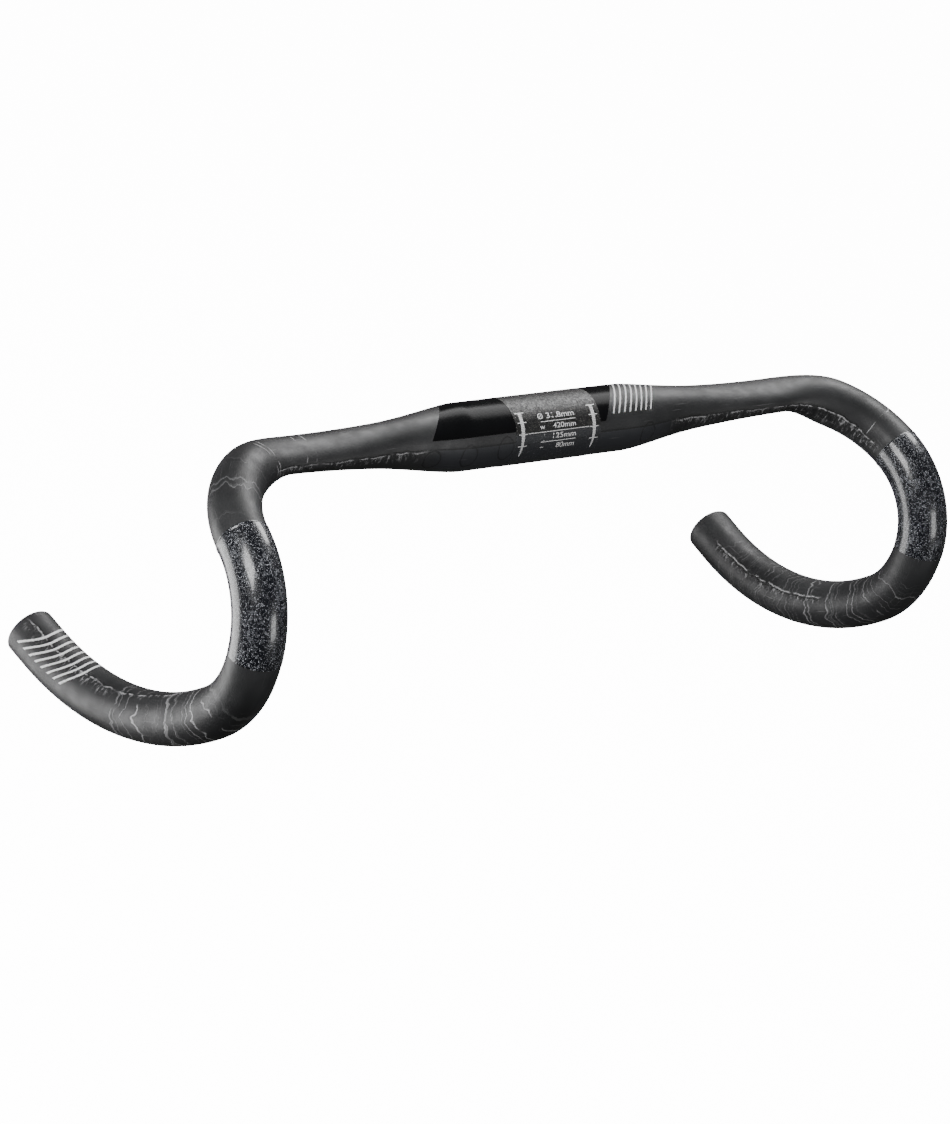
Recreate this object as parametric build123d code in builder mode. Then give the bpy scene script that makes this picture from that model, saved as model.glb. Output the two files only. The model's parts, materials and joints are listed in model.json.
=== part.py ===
"""Drop handlebar: a bonded carbon tube in three lengths, with its coatings and printed marks.

X runs across the bar to the rider's left, Y back to the rider and Z up. The origin is the middle
of the stem clamp. All sizes are millimetres and all angles degrees.
"""

import os
from math import cos, radians, sin, tan

from build123d import *

os.makedirs("parts", exist_ok=True)

# Overall shape, measured on the centre line of the tube
width = 420.0  # between the open ends
reach = 80.0  # from the clamp axis forwards to the hooks
drop = 125.0  # from the clamp axis down to the open ends
tail = 54.3  # from the clamp axis back to the open ends
flare = 3.8  # how far each hook is turned out

# The corners that the bends round off
sweep_start = 61.0  # where the tops leave the clamp axis
corner_inset = 17.6  # how far the outer corner lies inside half the width
corner_forward = 4.4
corner_rise = 6.0
shoulder_depth = 12.0  # below the clamp axis
hook_depth = 65.5
belly_forward = 23.0
belly_depth = 5.3  # below the open ends

# Bends, and the straight lengths that part them
sweep_radius = 353.0
corner_radius = 49.7
ramp_straight = 0.8
front_straight = 1.7
belly_straight = 2.0

# Tube sections, over the carbon
clamp_diameter = 31.8  # over the grip coating
tops_depth = 21.6  # front to back
tops_height = 13.8
grip_diameter = 23.8  # of the round tube from the lever seats to the ends
wall = 2.1

# Where the sections change, along the centre line
clamp_zone = 49.0  # half the length of the full-size cylinder
depth_taper = 48.0
depth_skew = 0.85  # under 1 the taper starts faster than it ends
height_taper = 100.0
height_skew = 0.7
joint_inset = 11.1  # from the joint to the corner bend
round_off = 32.0  # from the start of the corner bend to the round tube

# Bonded sleeves and extra plies inside the tube
glue_line = 0.1
sleeve_wall = 1.5
sleeve_half = 20.0
ply_stack = 0.6
clamp_plies = 32.0  # half their length
lever_ply_margin = 5.0  # past each end of the lever grip
end_plies = 30.0

# Coatings and prints
coating = 0.12
gloss_coat = 0.08
ink = 0.04
band_half = 25.5  # half the length of the clamp grip band
lever_grip_lead = 1.0  # before the end of the corner bend
lever_grip_length = 53.9
lip_width = 0.8
lip_height = 0.25

# Marks on the clamp zone, by the angle above straight ahead
scale_offset = 21.5
scale_top = 66.0
scale_bottom = -11.0
scale_ticks = (49.0, 29.0, 9.0)
tick_length = 5.2
scale_width = 1.9
scale_point = 0.3
line_width = 0.4
table_half = 10.5
table_top = 65.5
table_bottom = -6.5
table_rows = 4
number_width = 16.5
number_height = 2.4
mark_gap = 0.5  # between the long rule and the ticks in line with it
panel_low = 35.0  # lower edge of the gloss panels
panel_back = 150.0
slant = 0.75  # sideways run of a slanted edge for each unit up it
left_panel_reach = 63.5
right_panel_reach = 39.0
stripe_count = 8
stripe_width = 0.9
stripe_pitch = 3.45
stripe_gap = 2.8  # from the panel's slanted edge
stripe_low = 46.0
stripe_lean = 0.67  # sideways for each unit up
end_stripe_gap = 16.2  # from the open end, at the stripes' middles
end_stripe_width = 1.4
end_stripe_pitch = 4.75
end_stripe_low = 8.0  # angles above straight outwards
end_stripe_high = 132.0
end_stripe_low_lean = 9.5  # towards the open end, at each end of a stripe
end_stripe_high_lean = 4.0
end_film_margin = 4.0

# Centre line of the left half
half_width = width / 2
flare_slope = tan(radians(flare))


def hook_point(back, up):
    return Vector(half_width - (tail - back) * flare_slope, back, up)


corners = [
    Vector(0, 0, 0),
    Vector(sweep_start, 0, 0),
    Vector(half_width - corner_inset, -corner_forward, corner_rise),
    hook_point(-reach, -shoulder_depth),
    hook_point(-reach, -hook_depth),
    hook_point(-belly_forward, -drop - belly_depth),
    hook_point(tail, -drop),
]
runs = [(end - start).length for start, end in zip(corners, corners[1:])]
half_turns = [
    radians((here - before).get_angle(after - here) / 2)
    for before, here, after in zip(corners, corners[1:], corners[2:])
]
sweep_tangent = sweep_radius * tan(half_turns[0])
corner_tangent = corner_radius * tan(half_turns[1])
shoulder_tangent = runs[2] - corner_tangent - ramp_straight
hook_tangent = runs[3] - shoulder_tangent - front_straight
belly_tangent = runs[4] - hook_tangent - belly_straight
bend_radii = [
    sweep_radius,
    corner_radius,
    shoulder_tangent / tan(half_turns[2]),
    hook_tangent / tan(half_turns[3]),
    belly_tangent / tan(half_turns[4]),
]

with BuildLine() as left_route:
    FilletPolyline(*corners, radius=bend_radii)

route = left_route.wire()
sweep_length = runs[0] + runs[1] - 2 * sweep_tangent + 2 * sweep_radius * half_turns[0]
corner_start = sweep_length - corner_tangent
corner_end = corner_start + 2 * corner_radius * half_turns[1]
joint = corner_start - joint_inset
round_start = corner_start + round_off
grip_start = corner_end - lever_grip_lead
grip_end = grip_start + lever_grip_length
clamp_radius = clamp_diameter / 2 - coating
grip_radius = grip_diameter / 2


def ease(share):
    held = min(max(share, 0), 1)
    return held * held * (3 - 2 * held)


def half_size(station):
    """Half the depth and half the height of the tube at a distance along the centre line."""
    if station <= corner_start:
        past = max(station - clamp_zone, 0)
        depth_share = ease((past / depth_taper) ** depth_skew)
        height_share = ease((past / height_taper) ** height_skew)
        depth = clamp_radius + (tops_depth / 2 - clamp_radius) * depth_share
        height = clamp_radius + (tops_height / 2 - clamp_radius) * height_share
        return depth, height
    share = ease((station - corner_start) / round_off)
    depth = tops_depth / 2 + (grip_radius - tops_depth / 2) * share
    height = tops_height / 2 + (grip_radius - tops_height / 2) * share
    return depth, height


def across(station):
    """Plane across the tube, with its X level."""
    along = route.tangent_at(station, position_mode=PositionMode.LENGTH)
    centre = route.position_at(station, position_mode=PositionMode.LENGTH)
    return Plane(origin=centre, x_dir=Vector(0, 0, 1).cross(along), z_dir=along)


def stations(start, end, count):
    return [start + (end - start) * step / count for step in range(count + 1)]


def sections(start, end, count, grow):
    """Outlines across the tube, made thicker or thinner, for a loft along a stretch of it."""
    outlines = []
    for station in stations(start, end, count):
        depth, height = half_size(station)
        with BuildSketch(across(station)) as outline:
            Ellipse(depth + grow, height + grow)
        outlines.append(outline.sketch)
    return outlines


def stretch(start, end):
    return route.trim(start / route.length, end / route.length)


def ring(station, inner, outer):
    with BuildSketch(across(station)) as outline:
        Circle(outer)
        Circle(inner, mode=Mode.SUBTRACT)
    return outline.sketch


def centre_blank(grow):
    """Solid of the centre section's outer shape, made thicker or thinner."""
    with BuildPart() as blank:
        with BuildSketch(Plane.YZ):
            Circle(clamp_radius + grow)
        extrude(amount=clamp_zone)
        loft(sections(clamp_zone, joint, 11, grow))
        mirror(about=Plane.YZ)
    return blank.part


# Laminate
centre_outside = centre_blank(0)
centre_bore = centre_blank(-wall)

with BuildPart() as centre_section:
    add(centre_outside)
    add(centre_bore, mode=Mode.SUBTRACT)

with BuildPart() as drop_left:
    loft(sections(joint, round_start, 8, 0))
    loft(sections(joint, round_start, 8, -wall), mode=Mode.SUBTRACT)
    sweep(ring(round_start, grip_radius - wall, grip_radius), path=stretch(round_start, route.length))

sleeve_fit = wall + glue_line

with BuildPart() as joint_sleeve_left:
    loft(sections(joint - sleeve_half, joint + sleeve_half, 6, -sleeve_fit))
    loft(
        sections(joint - sleeve_half, joint + sleeve_half, 6, -sleeve_fit - sleeve_wall),
        mode=Mode.SUBTRACT,
    )

with BuildPart() as clamp_reinforcement:
    with BuildSketch(Plane.YZ):
        Circle(clamp_radius - wall)
        Circle(clamp_radius - wall - ply_stack, mode=Mode.SUBTRACT)
    extrude(amount=clamp_plies, both=True)

bore_radius = grip_radius - wall
ply_start = grip_start - lever_ply_margin
ply_end = grip_end + lever_ply_margin
end_ply_start = route.length - end_plies

with BuildPart() as lever_reinforcement_left:
    sweep(ring(ply_start, bore_radius - ply_stack, bore_radius), path=stretch(ply_start, ply_end))

with BuildPart() as end_reinforcement_left:
    sweep(
        ring(end_ply_start, bore_radius - ply_stack, bore_radius),
        path=stretch(end_ply_start, route.length),
    )

# Grip coatings
with BuildPart() as clamp_grip_band:
    with BuildSketch(Plane.YZ):
        Circle(clamp_radius + coating)
        Circle(clamp_radius, mode=Mode.SUBTRACT)
    extrude(amount=band_half, both=True)

with BuildPart() as lever_grip_left:
    sweep(ring(grip_start, grip_radius, grip_radius + coating), path=stretch(grip_start, grip_end))
    sweep(
        ring(grip_start, grip_radius, grip_radius + lip_height),
        path=stretch(grip_start, grip_start + lip_width),
    )


def facing(angle):
    """Plane through the clamp axis that faces out at an angle above straight ahead."""
    outwards = Vector(0, -cos(radians(angle)), sin(radians(angle)))
    return Plane(origin=(0, 0, 0), x_dir=(1, 0, 0), z_dir=outwards)


def clamp_film(thickness):
    """Tube on the outside of the clamp grip band."""
    with BuildPart() as tube:
        with BuildSketch(Plane.YZ):
            Circle(clamp_diameter / 2 + thickness)
            Circle(clamp_diameter / 2, mode=Mode.SUBTRACT)
        extrude(amount=band_half, both=True)
    return tube.part


gloss_skin = centre_blank(gloss_coat)
ink_skin = centre_blank(ink)
band_ink = clamp_film(ink)


def height_on(angle, facing_angle, radius):
    return radius * sin(radians(angle - facing_angle))


panel_facing = (panel_low + panel_back) / 2
panel_bottom = height_on(panel_low, panel_facing, clamp_radius)
panel_top = height_on(panel_back, panel_facing, clamp_radius)
stripe_bottom = height_on(stripe_low, panel_facing, clamp_radius)
skin_depth = clamp_diameter


def leaning(middle, half, run, bottom, top):
    """Outline of a band between two leaning edges, on a facing plane."""
    low, high = middle + run * bottom, middle + run * top
    return [(low - half, bottom), (low + half, bottom), (high + half, top), (high - half, top)]


with BuildPart() as gloss_panel_right:
    with BuildSketch(facing(panel_facing)):
        with BuildLine():
            Polyline(
                (-band_half, panel_bottom),
                (-band_half, panel_top),
                (-left_panel_reach + slant * panel_top, panel_top),
                (-left_panel_reach + slant * panel_bottom, panel_bottom),
                close=True,
            )
        make_face()
    extrude(amount=skin_depth)
    add(gloss_skin, mode=Mode.INTERSECT)
    add(centre_outside, mode=Mode.SUBTRACT)

with BuildPart() as gloss_panel_left:
    with BuildSketch(facing(panel_facing)):
        with BuildLine():
            Polyline(
                (band_half, panel_bottom),
                (band_half, panel_top),
                (right_panel_reach + slant * panel_top, panel_top),
                (right_panel_reach + slant * panel_bottom, panel_bottom),
                close=True,
            )
        make_face()
    extrude(amount=skin_depth)
    add(gloss_skin, mode=Mode.INTERSECT)
    add(centre_outside, mode=Mode.SUBTRACT)

# Printed marks
with BuildPart() as centre_stripes:
    for index in range(stripe_count):
        middle = right_panel_reach + stripe_gap + index * stripe_pitch
        with BuildSketch(facing(panel_facing)):
            with BuildLine():
                Polyline(
                    *leaning(middle, stripe_width / 2, stripe_lean, stripe_bottom, panel_top),
                    close=True,
                )
            make_face()
    extrude(amount=skin_depth)
    add(ink_skin, mode=Mode.INTERSECT)
    add(centre_outside, mode=Mode.SUBTRACT)

table_facing = (table_top + table_bottom) / 2
table_high = height_on(table_top, table_facing, clamp_radius)
table_low = height_on(table_bottom, table_facing, clamp_radius)

row_height = (table_high - table_low) / table_rows
long_rule = 2 * scale_offset - tick_length - 2 * mark_gap

with BuildPart() as size_table:
    with BuildSketch(facing(table_facing)):
        for row in range(1, table_rows):
            rule = long_rule if 2 * row == table_rows else 2 * table_half
            with Locations((0, table_low + row * row_height)):
                Rectangle(rule, line_width)
        for row in range(table_rows):
            with Locations((table_half - number_width / 2, table_low + (row + 0.5) * row_height)):
                Rectangle(number_width, number_height)
    extrude(amount=skin_depth)
    add(band_ink, mode=Mode.INTERSECT)

scale_facing = (scale_top + scale_bottom) / 2
scale_high = height_on(scale_top, scale_facing, clamp_radius)
scale_low = height_on(scale_bottom, scale_facing, clamp_radius)

with BuildPart() as angle_scale_left:
    with BuildSketch(facing(scale_facing)):
        with BuildLine():
            Polyline(
                (scale_offset - scale_width / 2, scale_high),
                (scale_offset + scale_width / 2, scale_high),
                (scale_offset + scale_point, scale_low),
                (scale_offset - scale_point, scale_low),
                close=True,
            )
        make_face()
        with Locations((scale_offset, scale_high)):
            Rectangle(tick_length, line_width)
        for angle in scale_ticks:
            with Locations((scale_offset, height_on(angle, scale_facing, clamp_radius))):
                Rectangle(tick_length, line_width)
    extrude(amount=skin_depth)
    add(band_ink, mode=Mode.INTERSECT)


def end_stripes():
    """Curved stripes near the open end, on the left half of the bar."""
    first = route.length - end_stripe_gap
    middle = first - (stripe_count - 1) / 2 * end_stripe_pitch
    section = across(middle)
    turn = radians((end_stripe_low + end_stripe_high) / 2)
    outwards = section.y_dir * sin(turn) - section.x_dir * cos(turn)
    half_height = grip_radius * sin(radians(end_stripe_high - end_stripe_low) / 2)
    film_end = route.length - end_film_margin
    film_start = first - stripe_count * end_stripe_pitch - end_film_margin
    with BuildPart() as film:
        sweep(ring(film_start, grip_radius, grip_radius + ink), path=stretch(film_start, film_end))
    with BuildPart() as stripes:
        for index in range(stripe_count):
            centre = first - index * end_stripe_pitch - middle
            with BuildSketch(Plane(section.origin, x_dir=section.z_dir, z_dir=outwards)):
                with BuildLine():
                    near, far = [
                        ThreePointArc(
                            (edge + end_stripe_low_lean, -half_height),
                            (edge, 0),
                            (edge + end_stripe_high_lean, half_height),
                        )
                        for edge in (centre - end_stripe_width / 2, centre + end_stripe_width / 2)
                    ]
                    Line(near @ 0, far @ 0)
                    Line(near @ 1, far @ 1)
                make_face()
        extrude(amount=grip_diameter)
        add(film.part, mode=Mode.INTERSECT)
    return stripes.part


# Right-hand pieces, as mirror images
with BuildPart() as drop_right:
    mirror(drop_left.part, about=Plane.YZ)

with BuildPart() as joint_sleeve_right:
    mirror(joint_sleeve_left.part, about=Plane.YZ)

with BuildPart() as lever_reinforcement_right:
    mirror(lever_reinforcement_left.part, about=Plane.YZ)

with BuildPart() as end_reinforcement_right:
    mirror(end_reinforcement_left.part, about=Plane.YZ)

with BuildPart() as lever_grip_right:
    mirror(lever_grip_left.part, about=Plane.YZ)

with BuildPart() as angle_scale_right:
    mirror(angle_scale_left.part, about=Plane.YZ)

# Only the rider's right drop is striped
with BuildPart() as drop_stripes:
    mirror(end_stripes(), about=Plane.YZ)

pieces = {
    "centre_section": centre_section,
    "drop_left": drop_left,
    "drop_right": drop_right,
    "joint_sleeve_left": joint_sleeve_left,
    "joint_sleeve_right": joint_sleeve_right,
    "clamp_reinforcement": clamp_reinforcement,
    "lever_reinforcement_left": lever_reinforcement_left,
    "lever_reinforcement_right": lever_reinforcement_right,
    "end_reinforcement_left": end_reinforcement_left,
    "end_reinforcement_right": end_reinforcement_right,
    "clamp_grip_band": clamp_grip_band,
    "lever_grip_left": lever_grip_left,
    "lever_grip_right": lever_grip_right,
    "gloss_panel_left": gloss_panel_left,
    "gloss_panel_right": gloss_panel_right,
    "size_table": size_table,
    "angle_scale_left": angle_scale_left,
    "angle_scale_right": angle_scale_right,
    "centre_stripes": centre_stripes,
    "drop_stripes": drop_stripes,
}
for name, piece in pieces.items():
    piece.part.label = name
    export_step(piece.part, f"parts/{name}.step")
print("length along the centre line", round(route.length, 2), "bend radii", [round(r, 1) for r in bend_radii])
print("joint", round(joint, 2), "grip", round(grip_start, 2), round(grip_end, 2))
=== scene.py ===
import json
from functools import lru_cache
from math import asin, cos, pi, radians, sin, tan

import bmesh
import bpy
from mathutils import Matrix, Vector


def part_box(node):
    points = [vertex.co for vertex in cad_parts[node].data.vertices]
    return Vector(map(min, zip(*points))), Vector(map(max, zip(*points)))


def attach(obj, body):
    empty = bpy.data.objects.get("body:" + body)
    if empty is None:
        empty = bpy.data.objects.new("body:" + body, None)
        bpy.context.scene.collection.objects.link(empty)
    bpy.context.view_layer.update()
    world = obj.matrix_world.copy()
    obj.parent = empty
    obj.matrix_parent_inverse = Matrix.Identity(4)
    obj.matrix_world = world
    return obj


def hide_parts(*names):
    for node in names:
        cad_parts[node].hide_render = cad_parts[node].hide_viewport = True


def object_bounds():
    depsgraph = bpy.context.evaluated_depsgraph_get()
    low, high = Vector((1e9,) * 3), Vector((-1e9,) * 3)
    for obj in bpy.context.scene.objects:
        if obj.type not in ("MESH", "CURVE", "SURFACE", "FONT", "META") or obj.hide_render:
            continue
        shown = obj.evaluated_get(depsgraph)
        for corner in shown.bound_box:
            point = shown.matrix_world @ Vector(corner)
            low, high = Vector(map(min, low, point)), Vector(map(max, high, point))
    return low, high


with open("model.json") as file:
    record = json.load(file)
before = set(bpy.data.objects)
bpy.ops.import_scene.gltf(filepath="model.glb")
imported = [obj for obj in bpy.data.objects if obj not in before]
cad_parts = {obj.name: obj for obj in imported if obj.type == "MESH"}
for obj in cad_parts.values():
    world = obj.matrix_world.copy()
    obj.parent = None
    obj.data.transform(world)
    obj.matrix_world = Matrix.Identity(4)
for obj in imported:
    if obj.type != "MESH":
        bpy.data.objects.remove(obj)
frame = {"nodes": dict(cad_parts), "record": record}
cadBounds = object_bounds()
print("frame loaded")

mm = 0.001
mounts = {mount["name"]: mount for mount in frame["record"]["mounts"]}

bar = {
    "sweepStart": 61 * mm,  # where the tops leave the clamp axis
    "cornerInset": 17.6 * mm,
    "cornerForward": 4.4 * mm,
    "cornerRise": 6 * mm,
    "shoulderDepth": 12 * mm,
    "hookDepth": 65.5 * mm,
    "bellyForward": 23 * mm,
    "bellyDepth": 5.3 * mm,
    "flare": radians(3.8),
    "sweepRadius": 353 * mm,
    "cornerRadius": 49.7 * mm,
    "straights": (0.8 * mm, 1.7 * mm, 2 * mm),  # before, between and after the hook bends
    "coating": 0.12 * mm,
    "gripRadius": 11.9 * mm,
    "topsDepth": 10.8 * mm,  # half the depth and half the height of the tops
    "topsHeight": 6.9 * mm,
    "wall": 2.1 * mm,
    "clampZone": 49 * mm,
    "depthTaper": 48 * mm,
    "depthSkew": 0.85,
    "heightTaper": 100 * mm,
    "heightSkew": 0.7,
    "jointInset": 11.1 * mm,
    "roundOff": 32 * mm,
    "leverGripLead": 1 * mm,
    "leverGripLength": 53.9 * mm,
}


def endOfBar():
    bore = mounts["bar_end_bore_left"]
    return Vector(bore["pos_m"]) + Vector(bore["axis"]) * bore["dims"]["length_mm"] * mm / 2


barEnd = endOfBar()
reach = -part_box("drop_left")[0][1] - bar["gripRadius"]
flareSlope = tan(bar["flare"])


def hookPoint(back, up):
    return Vector((barEnd.x - (barEnd.y - back) * flareSlope, back, up))


corners = [
    Vector((0, 0, 0)),
    Vector((bar["sweepStart"], 0, 0)),
    Vector((barEnd.x - bar["cornerInset"], -bar["cornerForward"], bar["cornerRise"])),
    hookPoint(-reach, -bar["shoulderDepth"]),
    hookPoint(-reach, -bar["hookDepth"]),
    hookPoint(-bar["bellyForward"], barEnd.z - bar["bellyDepth"]),
    barEnd,
]
runs = [(after - before).length for before, after in zip(corners, corners[1:])]
halfTurns = [
    (here - before).angle(after - here) / 2
    for before, here, after in zip(corners, corners[1:], corners[2:])
]
reaches = [bar["sweepRadius"] * tan(halfTurns[0]), bar["cornerRadius"] * tan(halfTurns[1])]
for run, straight in zip(runs[2:5], bar["straights"]):
    reaches.append(run - reaches[-1] - straight)  # each bend takes what its run leaves


def makeStretches():
    # each stretch is (start station, length, start point, direction, centre or None, axis)
    stretches, station, here = [], 0.0, corners[0]
    for index, halfTurn in enumerate(halfTurns):
        corner = corners[index + 1]
        along = (corner - corners[index]).normalized()
        away = (corners[index + 2] - corner).normalized()
        bendStart = corner - along * reaches[index]
        length = (bendStart - here).length
        stretches.append((station, length, here, along, None, None))
        station += length
        radius = reaches[index] / tan(halfTurn)
        axis = along.cross(away).normalized()
        centre = bendStart + axis.cross(along) * radius
        stretches.append((station, 2 * halfTurn * radius, bendStart, along, centre, axis))
        station += 2 * halfTurn * radius
        here = corner + away * reaches[index]
    along = (corners[-1] - corners[-2]).normalized()
    stretches.append((station, (barEnd - here).length, here, along, None, None))
    return stretches


stretches = makeStretches()
routeLength = stretches[-1][0] + stretches[-1][1]
cornerStart = stretches[3][0]
cornerEnd = cornerStart + stretches[3][1]
shoulderEnd = stretches[5][0] + stretches[5][1]
joint = cornerStart - bar["jointInset"]
gripStart = cornerEnd - bar["leverGripLead"]
gripEnd = gripStart + bar["leverGripLength"]
clampRadius = mounts["stem_clamp"]["dims"]["r_mm"] * mm - bar["coating"]
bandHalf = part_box("clamp_grip_band")[1][0]


def placeAt(station):
    start, length, origin, along, centre, axis = next(
        stretch for stretch in reversed(stretches) if station >= stretch[0] - 1e-9
    )
    if centre is None:
        return origin + along * (station - start), along
    turn = Matrix.Rotation((station - start) / (origin - centre).length, 3, axis)
    return centre + turn @ (origin - centre), turn @ along


rampSide = Vector((0, 0, 1)).cross(placeAt(cornerEnd)[1]).normalized()
hookSide = Vector((cos(bar["flare"]), -sin(bar["flare"]), 0))


@lru_cache(maxsize=None)
def sectionAt(station):
    # centre, sideways direction and outward direction of the section, on either half
    centre, along = placeAt(abs(station))
    if abs(station) <= cornerEnd:
        side = Vector((0, 0, 1)).cross(along).normalized()
    else:
        share = min((abs(station) - cornerEnd) / (shoulderEnd - cornerEnd), 1)
        side = rampSide.lerp(hookSide, share)
        side = (side - along * side.dot(along)).normalized()
    outward = along.cross(side)
    if station < 0:
        mirror = Vector((-1, 1, 1))
        centre, side, outward = centre * mirror, side * mirror, outward * mirror
    return centre, side, outward


def ease(share):
    held = min(max(share, 0), 1)
    return held * held * (3 - 2 * held)


def halfSize(station):
    station = abs(station)
    if station <= cornerStart:
        past = max(station - bar["clampZone"], 0)
        depthShare = ease((past / bar["depthTaper"]) ** bar["depthSkew"])
        heightShare = ease((past / bar["heightTaper"]) ** bar["heightSkew"])
        return (
            clampRadius + (bar["topsDepth"] - clampRadius) * depthShare,
            clampRadius + (bar["topsHeight"] - clampRadius) * heightShare,
        )
    share = ease((station - cornerStart) / bar["roundOff"])
    return (
        bar["topsDepth"] + (bar["gripRadius"] - bar["topsDepth"]) * share,
        bar["topsHeight"] + (bar["gripRadius"] - bar["topsHeight"]) * share,
    )


def onTube(station, angle, lift):
    # angle 0 faces forwards on the tops, and a quarter turn faces up or out of the hook
    centre, side, outward = sectionAt(station)
    depth, height = halfSize(station)
    return centre - side * (depth + lift) * cos(angle) + outward * (height + lift) * sin(angle)


print("route", round(routeLength, 4), "joint", round(joint, 4), "grip", round(gripStart, 4))


def keepMesh(name, mesh, creaseAngle=radians(40)):
    data = bpy.data.meshes.new(name)
    mesh.to_mesh(data)
    mesh.free()
    data.shade_smooth()
    data.set_sharp_from_angle(angle=creaseAngle)
    piece = bpy.data.objects.new(name, data)
    bpy.context.collection.objects.link(piece)
    return piece


def bend(mesh, place):
    # bends a flat grid onto the bar; place turns grid coordinates into station, angle and lift
    layer = mesh.loops.layers.uv.new("onBar")
    for face in mesh.faces:
        for loop in face.loops:
            station, angle, lift = place(loop.vert.co)
            loop[layer].uv = (station, angle * bar["gripRadius"])
    for vert in mesh.verts:
        vert.co = onTube(*place(vert.co))


def wrappedTube(name, profile, around, side=1):
    # profile is a closed ring of (station, lift) through the wall, and is carried round the bar
    mesh = bmesh.new()
    rows = len(profile) - 1
    bmesh.ops.create_grid(mesh, x_segments=rows, y_segments=around, size=0.5)

    def place(point):
        station, lift = profile[round((point.x + 0.5) * rows)]
        return side * station, (point.y + 0.5) * 2 * pi - pi / 2, lift

    bend(mesh, place)
    bmesh.ops.remove_doubles(mesh, verts=mesh.verts, dist=2e-6)
    bmesh.ops.recalc_face_normals(mesh, faces=mesh.faces)
    return keepMesh(name, mesh)


def wrappedFilms(name, films):
    # each film is (rows, columns, place), where place also says how far the top face is lifted
    mesh = bmesh.new()
    for rows, columns, place in films:
        film = bmesh.new()
        bmesh.ops.create_grid(film, x_segments=rows, y_segments=columns, size=0.5)
        thick = bmesh.ops.extrude_face_region(film, geom=film.faces[:])
        newVerts = [item for item in thick["geom"] if isinstance(item, bmesh.types.BMVert)]
        bmesh.ops.translate(film, verts=newVerts, vec=(0, 0, 1))
        bend(film, place)
        bmesh.ops.recalc_face_normals(film, faces=film.faces)
        data = bpy.data.meshes.new("film")
        film.to_mesh(data)
        film.free()
        mesh.from_mesh(data)
        bpy.data.meshes.remove(data)
    return keepMesh(name, mesh)


def finishPiece(piece, material, node):
    piece.data.materials.append(material)
    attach(piece, "root")
    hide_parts(node)


def startMaterial(name, color, roughness, **others):
    material = bpy.data.materials.new(name)
    material.use_nodes = True
    shader = material.node_tree.nodes["Principled BSDF"]
    shader.inputs["Base Color"].default_value = (*color, 1)
    shader.inputs["Roughness"].default_value = roughness
    for socket, value in others.items():
        shader.inputs[socket.replace("_", " ")].default_value = value
    return material, shader


def setSocket(material, socket, value):
    if isinstance(value, bpy.types.NodeSocket):
        material.node_tree.links.new(value, socket)
    elif isinstance(value, tuple) and len(value) == 3 and len(socket.default_value) == 4:
        socket.default_value = (*value, 1)
    else:
        socket.default_value = value


def addNode(material, kind, settings=None, values=()):
    node = material.node_tree.nodes.new(kind)
    for key, value in (settings or {}).items():
        setattr(node, key, value)
    for key, value in values:
        setSocket(material, node.inputs[key], value)
    return node


def calc(material, operation, *values):
    return addNode(
        material, "ShaderNodeMath", {"operation": operation}, enumerate(values)
    ).outputs[0]


def onBarMillimetres(material):
    uv = addNode(material, "ShaderNodeUVMap", {"uv_map": "onBar"}).outputs["UV"]
    scaled = addNode(
        material, "ShaderNodeVectorMath", {"operation": "SCALE"}, [(0, uv), ("Scale", 1 / mm)]
    ).outputs["Vector"]
    split = addNode(material, "ShaderNodeSeparateXYZ", values=[(0, scaled)])
    return scaled, split.outputs["X"], split.outputs["Y"]


def stretched(material, vector, scale, turn=0.0):
    values = [("Vector", vector), ("Rotation", (0, 0, turn)), ("Scale", scale)]
    return addNode(material, "ShaderNodeMapping", values=values).outputs["Vector"]


def noise(material, vector, scale=1.0, detail=3.0, roughness=0.5):
    values = [("Vector", vector), ("Scale", scale), ("Detail", detail), ("Roughness", roughness)]
    return addNode(material, "ShaderNodeTexNoise", values=values).outputs["Fac"]


def ramp(material, factor, low, high, start=0.0, end=1.0):
    # smooth change from start to end as factor goes from low to high
    if low > high:
        low, high, start, end = high, low, end, start
    values = [("Value", factor), (1, low), (2, high), (3, start), (4, end)]
    return addNode(
        material, "ShaderNodeMapRange", {"interpolation_type": "SMOOTHSTEP"}, values
    ).outputs["Result"]


def mixColor(material, factor, first, second):
    values = [(0, factor), (6, first), (7, second)]
    return addNode(material, "ShaderNodeMix", {"data_type": "RGBA"}, values).outputs[2]


def bump(material, shader, height, strength, distance):
    values = [("Height", height), ("Strength", strength), ("Distance", distance)]
    normal = addNode(material, "ShaderNodeBump", values=values).outputs["Normal"]
    setSocket(material, shader.inputs["Normal"], normal)


def lineAt(material, position, place, halfWidth):
    # 1 on a thin line where position equals place
    off = calc(material, "ABSOLUTE", calc(material, "SUBTRACT", position, place))
    return ramp(material, off, halfWidth * 0.5, halfWidth, 1.0, 0.0)


def largest(material, marks):
    total = marks[0]
    for mark in marks[1:]:
        total = calc(material, "MAXIMUM", total, mark)
    return total


def product(material, *factors):
    total = factors[0]
    for factor in factors[1:]:
        total = calc(material, "MULTIPLY", total, factor)
    return total


laminate = {
    "dark": (0.015, 0.0155, 0.0165),
    "light": (0.032, 0.0325, 0.034),
    "glintStroke": (0.42, 0.42, 0.43),
    "underside": (0.031, 0.033, 0.038),
    "seam": (0.006, 0.006, 0.007),
    "layAngle": radians(24),
    "layRoughness": (0.45, 0.58),
    "bumpHeight": 0.2 * mm,
    "wander": 5.0,  # how far ply edges and rings stray, in millimetres
}


def aroundAt(angle):
    # place around the bar, in millimetres, as the materials read it
    return radians(angle) * bar["gripRadius"] / mm


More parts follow.
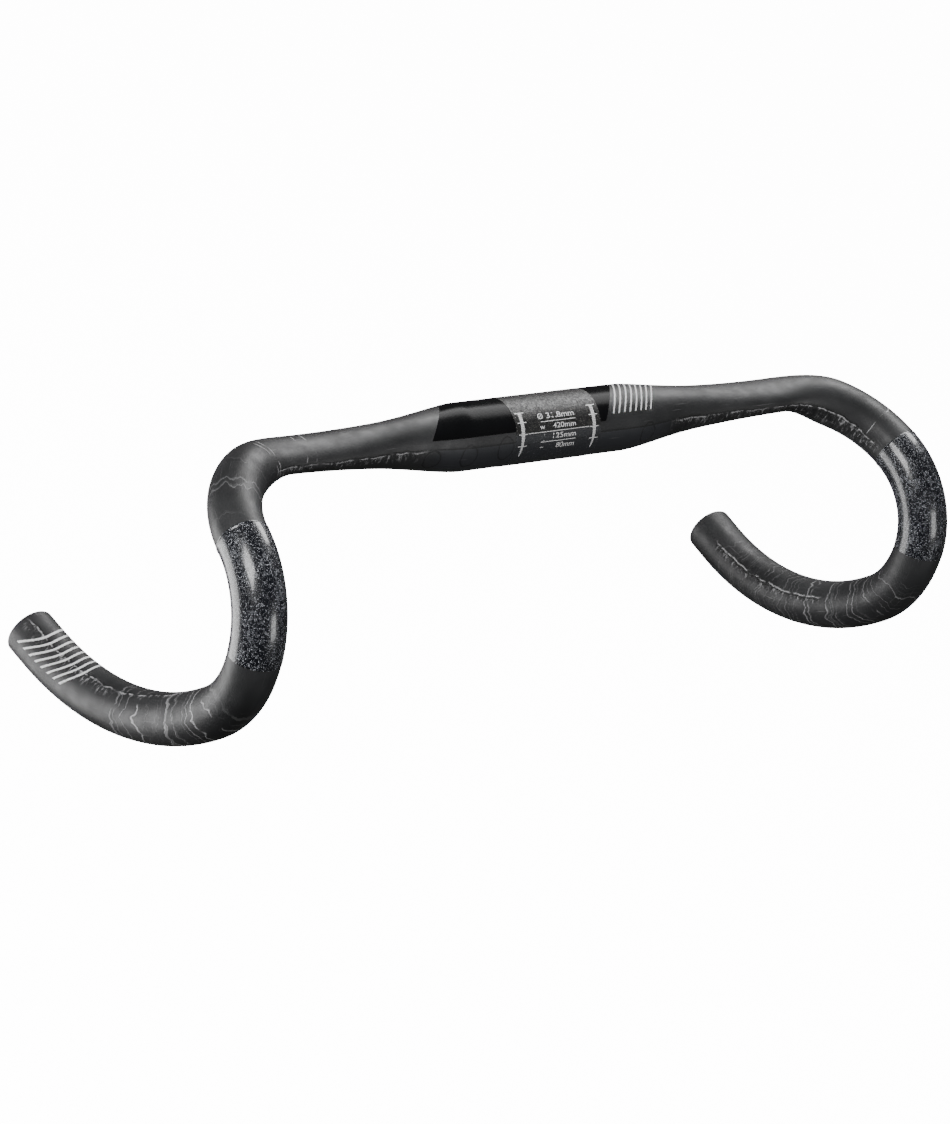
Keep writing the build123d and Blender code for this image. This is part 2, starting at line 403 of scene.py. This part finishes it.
def laminateMaterial(name, rings, strokeZones, plyEdges, underside=None, circles=()):
    # rings: stations of thin rings, painted bright as a glint;
    # strokeZones: (start, end, density, strength) of stretches with arcs round the tube, painted bright as
    # glints;
    # plyEdges: (start, end, angle at start, angle at end, width) of wavy ply edges along the tube;
    # circles: (station, angle)
    material, shader = startMaterial(name, laminate["dark"], 0.45)
    place, along, around = onBarMillimetres(material)
    wander = laminate["wander"]

    patches = noise(material, stretched(material, place, (0.03, 0.06, 1)), detail=2)
    body = mixColor(
        material, ramp(material, patches, 0.3, 0.7), laminate["dark"], laminate["light"]
    )

    # faint long fibres that lie aslant, seen only in patches; the fibres are real, their brightness is a
    # painted glint
    fibres = []
    for turn in (laminate["layAngle"], -1.6 * laminate["layAngle"]):
        lay = noise(material, stretched(material, place, (0.035, 1.5, 1), turn), detail=4, roughness=0.6)
        spots = noise(material, stretched(material, place, (0.05, 0.09, 1), turn), detail=2)
        fibres.append(
            product(
                material, ramp(material, lay, 0.60, 0.74), ramp(material, spots, 0.50, 0.68), 0.35
            )
        )

    # thin bright rings and arcs round the tube, broken up; real fibre strokes and ring lines, painted
    # bright as a glint
    drift = noise(material, stretched(material, place, (0.02, 0.07, 1)), detail=2)
    bent = calc(material, "ADD", along, product(material, drift, wander))
    breaks = noise(material, stretched(material, place, (0.03, 0.06, 1)), scale=1.3, detail=1)
    ringMarks = [
        product(
            material,
            lineAt(material, bent, station + wander / 2, 0.35),
            ramp(material, breaks, 0.47, 0.58),
        )
        for station in rings
    ]
    arcs = []
    swerve = noise(material, stretched(material, place, (0.04, 0.10, 1)), detail=3)
    curled = calc(material, "ADD", along, product(material, swerve, 18.0))
    inLine = addNode(material, "ShaderNodeCombineXYZ", values=[(0, curled)]).outputs[0]
    for start, end, density, strength in strokeZones:
        fine = noise(material, stretched(material, inLine, (density, 1, 1)), detail=3, roughness=0.7)
        patch = noise(material, stretched(material, place, (0.07, 0.09, 1)), detail=2, roughness=0.6)
        arcs.append(
            product(
                material,
                ramp(material, fine, 0.54, 0.62),
                ramp(material, patch, 0.36, 0.48),
                ramp(material, along, min(start, end), min(start, end) + 12),
                ramp(material, along, max(start, end) - 12, max(start, end), 1.0, 0.0),
                strength,
            )
        )

    # ply edges: a dark seam with bright, ragged strokes beside it painted as glints, and a thin painted
    # highlight just off the seam
    seams, strokes = [], []
    sway = noise(material, stretched(material, place, (0.09, 0.0, 1)), detail=4, roughness=0.65)
    ragged = noise(
        material, stretched(material, place, (0.50, 0.16, 1), radians(20)), detail=5, roughness=0.75
    )
    glint = noise(material, place, scale=0.2, detail=1)
    for start, end, startAngle, endAngle, width in plyEdges:
        middle = addNode(
            material,
            "ShaderNodeMapRange",
            values=[
                ("Value", along), (1, start), (2, end), (3, aroundAt(startAngle)), (4, aroundAt(endAngle))
            ],
        ).outputs["Result"]
        off = calc(
            material,
            "SUBTRACT",
            calc(material, "ADD", around, product(material, sway, wander)),
            calc(material, "ADD", middle, wander / 2),
        )
        inReach = product(
            material,
            ramp(material, along, min(start, end), min(start, end) + 8),
            ramp(material, along, max(start, end) - 8, max(start, end), 1.0, 0.0),
        )
        seams.append(product(material, lineAt(material, off, 0.0, 0.45), inReach, 0.9))
        beside = product(
            material,
            ramp(material, off, min(0, width) * 1.6 - 0.5, min(0, width) * 0.4),
            ramp(material, off, max(0, width) * 0.4, max(0, width) * 1.6 + 0.5, 1.0, 0.0),
        )
        strokes.append(product(material, ramp(material, ragged, 0.53, 0.62), beside, inReach, 0.8))
        seams.append(product(material, ramp(material, ragged, 0.47, 0.40), beside, inReach, 0.75))
        # painted highlight: a thin bright line just off the seam, broken up by the glint noise
        strokes.append(
            product(
                material,
                lineAt(material, off, -0.8, 0.45),
                ramp(material, glint, 0.42, 0.52),
                inReach,
                0.9,
            )
        )

    if underside:
        angle, reachAlong, raisedEnd = underside
        size = calc(material, "ABSOLUTE", along)
        below = product(
            material,
            ramp(material, around, aroundAt(angle) - 0.25, aroundAt(angle) + 0.25, 1.0, 0.0),
            ramp(material, size, reachAlong, reachAlong + 14, 1.0, 0.0),
        )
        body = mixColor(material, below, body, laminate["underside"])
        seams.append(
            product(
                material,
                lineAt(material, around, aroundAt(angle), 0.35),
                ramp(material, size, reachAlong, reachAlong + raisedEnd, 0.8, 0.0),
            )
        )
    for station, angle in circles:
        away = addNode(
            material,
            "ShaderNodeVectorMath",
            {"operation": "DISTANCE"},
            [(0, place), (1, (station, aroundAt(angle), 0.0))],
        ).outputs["Value"]
        jitter = noise(material, place, scale=0.25, detail=2)
        away = calc(material, "ADD", away, product(material, jitter, 1.6))
        seams.append(product(material, lineAt(material, away, 5.2, 0.45), 0.7))

    marks = largest(material, fibres + ringMarks + arcs + strokes)
    dark = largest(material, seams) if seams else 0.0
    # the bright marks take a painted glint colour: fibres, rings, arcs and ply strokes are real, their
    # brightness is painted light
    body = mixColor(material, marks, body, laminate["glintStroke"])
    body = mixColor(material, dark, body, laminate["seam"])
    setSocket(material, shader.inputs["Base Color"], body)

    cloud = noise(material, place, scale=0.15)
    rough = ramp(material, cloud, 0.25, 0.75, *laminate["layRoughness"])
    rough = calc(material, "SUBTRACT", rough, product(material, marks, 0.12))
    setSocket(material, shader.inputs["Roughness"], rough)

    fine = noise(
        material, stretched(material, place, (0.15, 3.0, 1), laminate["layAngle"]), roughness=0.6
    )
    height = calc(material, "ADD", product(material, fine, 0.18), product(material, marks, 0.6))
    height = calc(material, "SUBTRACT", height, product(material, dark, 0.8))
    bump(material, shader, height, 0.5, laminate["bumpHeight"])
    return material


tube = {"stepLength": 1.7 * mm, "insideStep": 5 * mm, "around": 84, "rimRadius": 0.35 * mm, "rimSteps": 5}


def steps(start, end, stepLength):
    count = max(round(abs(end - start) / stepLength), 1)
    return [start + (end - start) * index / count for index in range(count)]


def wallProfile(start, end, rounded):
    # once round the wall: outside, end face, inside and back to the start
    rim = tube["rimRadius"] if rounded else 0.0
    outside = [(station, 0.0) for station in steps(start, end - rim, tube["stepLength"])]
    turns = [pi / 2 * index / tube["rimSteps"] for index in range(tube["rimSteps"] + 1)]
    edge = [(end, 0.0)]
    if rounded:
        edge = [(end - rim + rim * sin(turn), rim * cos(turn) - rim) for turn in turns]
    face = edge + [(station, -bar["wall"] - lift) for station, lift in reversed(edge)]
    inside = [(station, -bar["wall"]) for station in steps(end - rim, start, tube["insideStep"])[1:]]
    return outside + face + inside + [(start, -bar["wall"]), (start, 0.0)]


centreLaminate = laminateMaterial(
    "centreLaminate",
    rings=[],
    strokeZones=[],
    plyEdges=[(-138, -74, 13, 17, -4), (72, 138, 17, 13, -5)],
    underside=(17, 64, 20),
    circles=[(-72, -6.5), (-52, 0), (57, 2), (-31, 8)],
)
dropLaminate = laminateMaterial(
    "dropLaminate",
    rings=[-139.0, -144.5, -165, -168, 205],
    strokeZones=[(-292, -384, 0.35, 0.8), (284, 430, 0.6, 0.6), (-180, -218, 0.3, 0.35)],
    plyEdges=[
        (-170, -136, 20, 13, -4),
        (136, 218, 13, 4, -7),
        (-451, -376, 246, 242, -4),
        (-378, -322, 240, 262, -1.5),
        (342, 436, -18, -30, 2),
    ],
)

centreTube = wrappedTube("centreTube", wallProfile(-joint, joint, False), tube["around"])
finishPiece(centreTube, centreLaminate, "centre_section")
for side, sign in (("Left", 1), ("Right", -1)):
    profile = wallProfile(joint, routeLength, True)
    drop = wrappedTube("dropTube" + side, profile, tube["around"], sign)
    finishPiece(drop, dropLaminate, "drop_" + side.lower())
print("tubes made")


grit = {
    "clampGrain": 1.9,  # grains across a millimetre
    "leverGrain": 1.7,
    "clampColor": (0.012, 0.012, 0.0125),
    "clampFleck": (0.22, 0.215, 0.195),
    "clampLow": (0.030, 0.032, 0.037),
    "clampLowFleck": (0.15, 0.155, 0.17),
    "leverColor": (0.005, 0.006, 0.010),
    "leverFleck": (0.80, 0.83, 0.90),
    "lipWidth": 0.8 * mm,
    "lipHeight": 0.25 * mm,
}


def speckle(material, place, grain, share, detailShare=0.5):
    # scattered bright grains of many sizes, as 0 to 1
    cells = addNode(
        material,
        "ShaderNodeTexVoronoi",
        {"feature": "F1"},
        [("Vector", place), ("Scale", grain), ("Randomness", 1.0)],
    )
    pick = addNode(material, "ShaderNodeSeparateColor", values=[(0, cells.outputs["Color"])])
    chosen = ramp(material, pick.outputs[0], 1 - share, 1 - share * detailShare)
    near = ramp(material, cells.outputs["Distance"], 0.45, 0.15)
    return product(material, chosen, near), pick.outputs[1]


def clampGritMaterial():
    material, shader = startMaterial("clampGrit", grit["clampColor"], 0.5)
    place, along, around = onBarMillimetres(material)
    flecks, tone = speckle(material, place, grit["clampGrain"], 0.45)
    cloud = noise(material, place, scale=0.35, detail=3)
    flecks = product(material, flecks, ramp(material, cloud, 0.25, 0.75, 0.35, 1.0))
    sway = product(material, noise(material, place, scale=0.12, detail=4), 2.0)
    edge = calc(material, "ADD", around, sway)
    low = ramp(material, edge, aroundAt(28.5) + 1.2, aroundAt(28.5) + 0.8)
    upper = mixColor(material, flecks, grit["clampColor"], grit["clampFleck"])
    lower = mixColor(material, flecks, grit["clampLow"], grit["clampLowFleck"])
    body = mixColor(material, low, upper, lower)
    crease = product(
        material,
        lineAt(material, edge, aroundAt(12) + 1, 0.3),
        ramp(material, cloud, 0.45, 0.6),
        0.6,
    )
    setSocket(material, shader.inputs["Base Color"], mixColor(material, crease, body, laminate["seam"]))
    setSocket(material, shader.inputs["Roughness"], ramp(material, tone, 0.0, 1.0, 0.35, 0.65))
    grains = noise(material, place, scale=1.8, detail=2)
    bump(material, shader, calc(material, "ADD", grains, flecks), 0.6, 0.1 * mm)
    return material


def leverGritMaterial():
    material, shader = startMaterial(
        "leverGrit", grit["leverColor"], 0.3, Coat_Weight=0.6, Coat_Roughness=0.12
    )
    place, along, around = onBarMillimetres(material)
    flecks, tone = speckle(material, place, grit["leverGrain"], 0.34, 0.6)
    fineFlecks = speckle(material, place, 1.7 * grit["leverGrain"], 0.40, 0.6)[0]
    smeared = stretched(material, place, (0.06, 0.10, 1), radians(60))
    smears = noise(material, smeared, detail=4, roughness=0.65)
    dense = ramp(material, smears, 0.30, 0.70, 0.35, 1.0)
    marks = product(material, largest(material, [flecks, fineFlecks]), dense)
    veins = product(
        material,
        ramp(material, calc(material, "ABSOLUTE", calc(material, "SUBTRACT", smears, 0.55)), 0.012, 0.0),
        0.18,
    )
    body = mixColor(material, largest(material, [marks, veins]), grit["leverColor"], grit["leverFleck"])
    setSocket(material, shader.inputs["Base Color"], body)
    setSocket(material, shader.inputs["Roughness"], ramp(material, tone, 0.0, 1.0, 0.22, 0.42))
    lumps = noise(material, place, scale=0.9, detail=3)
    bump(material, shader, calc(material, "ADD", lumps, product(material, marks, 0.8)), 0.7, 0.15 * mm)
    return material


def coatProfile(start, end, stepLength, lip=None):
    rows = [(station, bar["coating"]) for station in [*steps(start, end, stepLength), end]]
    if lip:
        width, height = lip
        raised = [(start, height * 0.6), (start + 0.15 * mm, height), (start + width - 0.15 * mm, height)]
        rows = raised + [(start + width, bar["coating"])] + rows[1:]
    under = [(station, 0.0) for station in steps(end, start, stepLength)]
    return [(start, 0.0)] + rows + under + [(start, 0.0)]


clampBand = wrappedTube("clampBand", coatProfile(-bandHalf, bandHalf, 3 * mm), 128)
finishPiece(clampBand, clampGritMaterial(), "clamp_grip_band")
leverGrit = leverGritMaterial()
for side, sign in (("Left", 1), ("Right", -1)):
    lip = (grit["lipWidth"], grit["lipHeight"])
    profile = coatProfile(gripStart, gripEnd, tube["stepLength"], lip)
    leverGrip = wrappedTube("leverGrip" + side, profile, 96, sign)
    finishPiece(leverGrip, leverGrit, "lever_grip_" + side.lower())
print("grip coatings made")


panels = {
    "low": 35,
    "back": 150,
    "rightReach": 63.5 * mm,
    "leftReach": 39 * mm,
    "slant": 0.75,
    "thickness": 0.08 * mm,
    "color": (0.004, 0.004, 0.0045),
}
stripes = {
    "count": 8,
    "width": 0.9 * mm,
    "pitch": 3.45 * mm,
    "gap": 2.8 * mm,
    "low": 46,
    "lean": 0.67,
    "ink": 0.04 * mm,
}
panelFacing = radians((panels["low"] + panels["back"]) / 2)


def heightOn(angle, facing):
    return clampRadius * sin(radians(angle) - facing)


panelBottom = heightOn(panels["low"], panelFacing)
panelTop = heightOn(panels["back"], panelFacing)


def leaningFilm(facing, bottom, top, thickness, edges):
    # film between two edges, seen straight on from the facing angle; edges(t) gives both at height t
    def place(point):
        height = bottom + (top - bottom) * (point.y + 0.5)
        first, last = edges(height)
        station = first + (last - first) * (point.x + 0.5)
        return station, facing + asin(height / clampRadius), thickness * point.z

    return place


def glossMaterial():
    material, shader = startMaterial("glossBlack", panels["color"], 0.2, Specular_IOR_Level=0.04)
    place, along, around = onBarMillimetres(material)
    dust = noise(material, place, scale=1.4, detail=3)
    setSocket(material, shader.inputs["Roughness"], ramp(material, dust, 0.3, 0.8, 0.18, 0.26))
    tint = noise(material, place, scale=0.05, detail=2)
    color = mixColor(material, tint, panels["color"], (0.009, 0.009, 0.010))
    setSocket(material, shader.inputs["Base Color"], color)
    orangePeel = noise(material, place, scale=0.6, detail=1)
    bump(material, shader, orangePeel, 0.15, 0.05 * mm)
    return material


glossBlack = glossMaterial()
for side, sign, reachAlong in (("Left", 1, panels["leftReach"]), ("Right", -1, panels["rightReach"])):

    def panelEdges(height):
        return sign * bandHalf, sign * reachAlong + panels["slant"] * height

    place = leaningFilm(panelFacing, panelBottom, panelTop, panels["thickness"], panelEdges)
    panel = wrappedFilms("glossPanel" + side, [(40, 48, place)])
    finishPiece(panel, glossBlack, "gloss_panel_" + side.lower())


def inkMaterial():
    material, shader = startMaterial("whiteInk", (0.8, 0.8, 0.8), 0.5)
    place, along, around = onBarMillimetres(material)
    wear = noise(material, place, scale=1.1, detail=4, roughness=0.6)
    color = mixColor(material, ramp(material, wear, 0.35, 0.75), (0.95, 0.95, 0.95), (0.78, 0.78, 0.78))
    setSocket(material, shader.inputs["Base Color"], color)
    setSocket(material, shader.inputs["Roughness"], ramp(material, wear, 0.2, 0.8, 0.4, 0.6))
    bump(material, shader, wear, 0.2, 0.03 * mm)
    return material


whiteInk = inkMaterial()
stripeBottom = heightOn(stripes["low"], panelFacing)
films = []
for index in range(stripes["count"]):
    middle = panels["leftReach"] + stripes["gap"] + index * stripes["pitch"]

    def stripeEdges(height, middle=middle):
        centre = middle + stripes["lean"] * height
        return centre - stripes["width"] / 2, centre + stripes["width"] / 2

    films.append((2, 48, leaningFilm(panelFacing, stripeBottom, panelTop, stripes["ink"], stripeEdges)))
finishPiece(wrappedFilms("centreStripes", films), whiteInk, "centre_stripes")

endStripes = {
    "gap": 16.2 * mm,
    "width": 1.4 * mm,
    "pitch": 4.75 * mm,
    "low": 8,
    "high": 132,
    "lowLean": 9.5 * mm,
    "highLean": 4.0 * mm,
    "count": 8,
    "ink": 0.04 * mm,
}
films = []
for index in range(endStripes["count"]):
    middle = routeLength - endStripes["gap"] - index * endStripes["pitch"]

    def place(point, middle=middle):
        halfTurn = radians(endStripes["high"] - endStripes["low"]) / 2
        share = sin(2 * point.y * halfTurn) / sin(halfTurn)  # -1 at the low end and 1 at the high end
        lean = endStripes["lowLean"] if share < 0 else endStripes["highLean"]
        angle = radians(endStripes["low"]) + (point.y + 0.5) * 2 * halfTurn - pi
        station = middle + lean * share * share + point.x * endStripes["width"]
        return -station, angle, endStripes["ink"] * point.z

    films.append((2, 40, place))
finishPiece(wrappedFilms("dropStripes", films), whiteInk, "drop_stripes")
print("panels and stripes made")

scale = {
    "offset": 21.5 * mm,
    "top": 66,
    "bottom": -11,
    "ticks": (49, 29, 9),
    "tickLength": 5.2 * mm,
    "width": 1.9 * mm,
    "point": 0.3 * mm,
    "line": 0.4 * mm,
    "hatchGap": 0.16,
    "hatches": 26,
}
sizeTable = {
    "half": 10.5 * mm,
    "top": 65.5,
    "bottom": -6.5,
    "rows": (("\u00d8", "31.8mm"), ("w", "420mm"), ("|", "125mm"), ("\u2013", "80mm")),
    "numberHeight": 2.4 * mm,
    "letterWidth": 2.75 * mm,
    "ruleGap": 0.5 * mm,
}


def bandFilm(facing, bottom, top, edges, columns=8, rows=2):
    def place(point):
        height = bottom + (top - bottom) * (point.y + 0.5)
        first, last = edges(height)
        station = first + (last - first) * (point.x + 0.5)
        lift = bar["coating"] + stripes["ink"] * point.z
        return station, facing + asin(height / clampRadius), lift

    return rows, columns, place


def bandLine(facing, height, middle, length, width):
    return bandFilm(
        facing,
        height - width / 2,
        height + width / 2,
        lambda t: (middle - length / 2, middle + length / 2),
        columns=2,
        rows=6,
    )


scaleFacing = radians((scale["top"] + scale["bottom"]) / 2)
scaleHigh = heightOn(scale["top"], scaleFacing)
scaleLow = heightOn(scale["bottom"], scaleFacing)
for side, sign in (("Left", 1), ("Right", -1)):
    middle = sign * scale["offset"]

    def scaleEdges(height):
        share = (height - scaleLow) / (scaleHigh - scaleLow)
        half = scale["point"] + (scale["width"] / 2 - scale["point"]) * min(share * 2.2, 1)
        return middle - half, middle + half

    films = []
    hatch = (scaleHigh - scaleLow) / scale["hatches"]
    for index in range(scale["hatches"]):
        bottom = scaleLow + index * hatch
        gap = scale["hatchGap"] * hatch
        films.append(bandFilm(scaleFacing, bottom, bottom + hatch - gap, scaleEdges, columns=2))
    for angle in (scale["top"], *scale["ticks"]):
        height = heightOn(angle, scaleFacing)
        films.append(bandLine(scaleFacing, height, middle, scale["tickLength"], scale["line"]))
    finishPiece(
        wrappedFilms("angleScale" + side, films), whiteInk, "angle_scale_" + side.lower()
    )

tableFacing = radians((sizeTable["top"] + sizeTable["bottom"]) / 2)
tableHigh = heightOn(sizeTable["top"], tableFacing)
tableLow = heightOn(sizeTable["bottom"], tableFacing)
rowHeight = (tableHigh - tableLow) / len(sizeTable["rows"])
longRule = 2 * scale["offset"] - scale["tickLength"] - 2 * sizeTable["ruleGap"]
films = []
for row in range(1, len(sizeTable["rows"])):
    rule = longRule if 2 * row == len(sizeTable["rows"]) else 2 * sizeTable["half"]
    films.append(bandLine(tableFacing, tableLow + row * rowHeight, 0, rule, scale["line"] * 0.8))
rules = wrappedFilms("rules", films)


def wordMesh(words, middleHeight, rightSide):
    curve = bpy.data.curves.new("word", "FONT")
    curve.body = words
    curve.align_x, curve.align_y = "RIGHT", "CENTER"
    curve.size = sizeTable["numberHeight"] / 0.7  # a capital is 0.7 of the text's size
    curve.offset = 0.02 * mm
    holder = bpy.data.objects.new("word", curve)
    bpy.context.collection.objects.link(holder)
    flat = bpy.data.meshes.new_from_object(holder)
    bpy.data.objects.remove(holder)
    letters = bmesh.new()
    letters.from_mesh(flat)
    bpy.data.meshes.remove(flat)
    bmesh.ops.remove_doubles(letters, verts=letters.verts, dist=1e-7)
    bmesh.ops.triangulate(letters, faces=letters.faces)
    textWidth = max(vert.co.x for vert in letters.verts) - min(vert.co.x for vert in letters.verts)
    stretch = sizeTable["letterWidth"] * len(words) / textWidth if len(words) > 1 else 1.2
    thick = bmesh.ops.extrude_face_region(letters, geom=letters.faces[:])
    newVerts = [item for item in thick["geom"] if isinstance(item, bmesh.types.BMVert)]
    bmesh.ops.translate(letters, verts=newVerts, vec=(0, 0, 1))

    def place(point):
        height = middleHeight + point.y
        lift = bar["coating"] + stripes["ink"] * point.z
        return rightSide + point.x * stretch, tableFacing + asin(height / clampRadius), lift

    bend(letters, place)
    bmesh.ops.recalc_face_normals(letters, faces=letters.faces)
    return letters


tableMesh = bmesh.new()
tableMesh.from_mesh(rules.data)
bpy.data.objects.remove(rules)
for index, (symbol, words) in enumerate(sizeTable["rows"]):
    middle = tableHigh - (index + 0.5) * rowHeight
    for text, rightSide in ((symbol, 2.2 * mm - sizeTable["half"]), (words, sizeTable["half"])):
        letters = wordMesh(text, middle, rightSide)
        data = bpy.data.meshes.new("word")
        letters.to_mesh(data)
        letters.free()
        tableMesh.from_mesh(data)
        bpy.data.meshes.remove(data)
finishPiece(keepMesh("sizeTable", tableMesh), whiteInk, "size_table")
print("marks made")


def insideMaterial():
    material, shader = startMaterial("insideLaminate", (0.02, 0.02, 0.022), 0.6)
    place = addNode(material, "ShaderNodeTexCoord").outputs["Object"]
    weave = noise(material, stretched(material, place, (900, 250, 250)), detail=3, roughness=0.6)
    color = mixColor(material, weave, (0.012, 0.012, 0.013), (0.045, 0.045, 0.048))
    setSocket(material, shader.inputs["Base Color"], color)
    setSocket(material, shader.inputs["Roughness"], ramp(material, weave, 0.2, 0.8, 0.5, 0.7))
    bump(material, shader, weave, 0.4, 0.1 * mm)
    return material


insideLaminate = insideMaterial()
for name, node in frame["nodes"].items():
    if name.startswith(("joint_sleeve", "clamp_reinforcement", "lever_reinforcement", "end_reinforcement")):
        for materialSlot in node.material_slots:
            materialSlot.material = insideLaminate
print("inside pieces coloured")

studio = {
    "floorDrop": 0.5,  # the bar hangs this far above the floor
    "floorColor": (0.9, 0.9, 0.9),
    "floorGlow": 14,
    "worldLight": 0.06,
    "cameraAzimuth": -47.195,
    "cameraElevation": 30.825,
    "cameraRoll": 20.388,
    "cameraDistance": 1.82236,
    "lens": 126.63,
    "aimRight": -28.37 * mm,
    "aimUp": -62.15 * mm,
}

lowest = cadBounds[0][2]
floorMesh = bmesh.new()
bmesh.ops.create_grid(floorMesh, x_segments=1, y_segments=1, size=6)
bmesh.ops.translate(floorMesh, verts=floorMesh.verts, vec=(0, 0, lowest - studio["floorDrop"]))
floor = keepMesh("floor", floorMesh)
floorMaterial, floorShader = startMaterial("paleFloor", studio["floorColor"], 0.9)
floorShader.inputs["Emission Color"].default_value = (1, 1, 1, 1)
floorShader.inputs["Emission Strength"].default_value = studio["floorGlow"]
floor.data.materials.append(floorMaterial)
floor.visible_glossy = False
floor.visible_diffuse = False

world = bpy.data.worlds.new("studio")
bpy.context.scene.world = world
world.use_nodes = True
world.node_tree.nodes["Background"].inputs["Color"].default_value = (1, 1, 1, 1)
world.node_tree.nodes["Background"].inputs["Strength"].default_value = studio["worldLight"]

softLights = {
    # name: direction from the bar, distance, width, height, power
    "behindRight": ((0.62, 0.40, 0.68), 1.2, 0.9, 0.5, 17),
    "overLeft": ((-0.78, -0.10, 0.60), 1.2, 0.5, 0.5, 12),
    "lowLeft": ((-0.70, 0.50, -0.48), 0.75, 0.5, 0.45, 4.5),
    "front": ((0.25, -0.93, 0.22), 1.4, 0.5, 0.5, 6),
}
for name, (direction, distance, width, height, power) in softLights.items():
    light = bpy.data.lights.new(name, "AREA")
    light.shape = "RECTANGLE"
    light.size, light.size_y = width, height
    light.energy = power
    holder = bpy.data.objects.new(name, light)
    holder.location = Vector(direction).normalized() * distance
    holder.rotation_euler = holder.location.to_track_quat("Z", "Y").to_euler()
    holder.visible_camera = False
    bpy.context.collection.objects.link(holder)

azimuth, elevation, roll = (
    radians(studio[key]) for key in ("cameraAzimuth", "cameraElevation", "cameraRoll")
)
back = Vector((sin(azimuth) * cos(elevation), -cos(azimuth) * cos(elevation), sin(elevation)))
level = (-back).cross(Vector((0, 0, 1))).normalized()
upright = level.cross(-back)
right = level * cos(roll) + upright * sin(roll)
up = upright * cos(roll) - level * sin(roll)
aim = right * studio["aimRight"] + up * studio["aimUp"]
camera = bpy.data.objects.new("camera", bpy.data.cameras.new("camera"))
camera.data.lens = studio["lens"]
camera.data.sensor_width = 36
camera.data.clip_end = 20
camera.matrix_world = Matrix.Translation(aim + back * studio["cameraDistance"]) @ Matrix(
    (right, up, back)
).transposed().to_4x4()
bpy.context.collection.objects.link(camera)
bpy.context.scene.camera = camera
print("lights and camera set")
